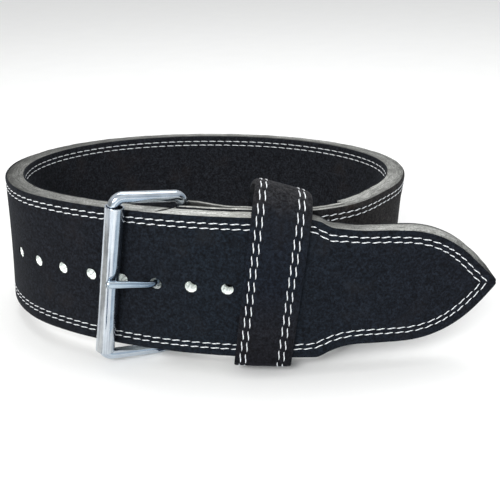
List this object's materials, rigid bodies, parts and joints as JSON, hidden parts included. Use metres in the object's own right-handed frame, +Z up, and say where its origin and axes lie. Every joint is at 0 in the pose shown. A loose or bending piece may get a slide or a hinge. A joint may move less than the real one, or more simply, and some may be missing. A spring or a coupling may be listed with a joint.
{
  "type": "weightlifting belt",
  "caption": "Thick stiff leather weightlifting belt, faced with suede and fastened into a loop by a roller buckle with one prong and a keeper loop, standing on its edge.",
  "frame": {"origin": "on the surface that the belt stands on, under the middle of its bounding box", "axes": "+X along the tongue towards its tip, +Y from the buckle to the back of the loop, +Z up along the strap's width"},
  "size_m": [0.3682, 0.2636, 0.1395],
  "materials": {
    "black_suede": "matt suede with a short nap",
    "raw_leather": "cut edge of undyed leather, matt and fibrous",
    "steel": "bright plated steel"
  },
  "bodies": {
    "belt": {"outer_suede": "black_suede", "leather_core": "raw_leather", "inner_suede": "black_suede", "fold_leather": "raw_leather", "keeper": "black_suede", "buckle_frame": "steel", "prong": "steel"},
    "roller": {"roller": "steel"}
  },
  "joints": [
    {"name": "roller_spin", "type": "hinge", "parent": "belt", "child": "roller", "pos_m": [-0.08235, -0.1116, 0.0687], "axis": [0.1601, 0.0157, 0.987], "continuous": true}
  ]
}
